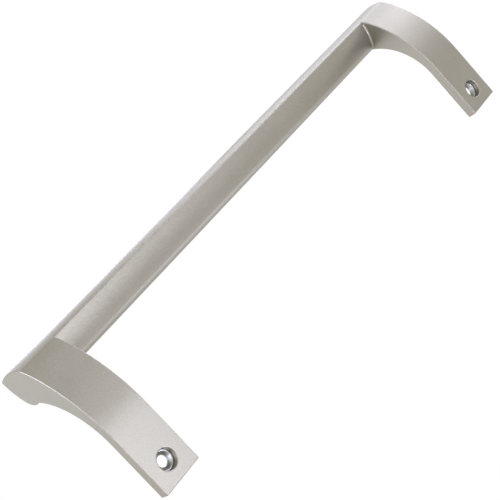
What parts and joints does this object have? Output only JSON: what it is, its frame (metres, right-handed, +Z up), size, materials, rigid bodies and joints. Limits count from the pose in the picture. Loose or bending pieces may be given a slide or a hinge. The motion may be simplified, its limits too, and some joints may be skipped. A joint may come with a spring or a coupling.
{
  "type": "refrigerator door handle",
  "caption": "Side-mounted pull handle: a straight grip between curved arms whose flat feet hold countersunk steel bushes for the screws.",
  "frame": {"origin": "midway between the two screw holes, on the plane of the feet's backs", "axes": "+X into the door's side, the way the screws go in; +Y back along the door's side, away from the grip; +Z up, along the grip"},
  "size_m": [0.0391, 0.0789, 0.3106],
  "materials": {
    "silver_paint": "satin metallic silver paint over a plastic moulding",
    "plated_steel": "bright zinc plate on turned steel"
  },
  "bodies": {
    "root": {"handle": "silver_paint", "upper_bush": "plated_steel", "lower_bush": "plated_steel"}
  },
  "joints": []
}
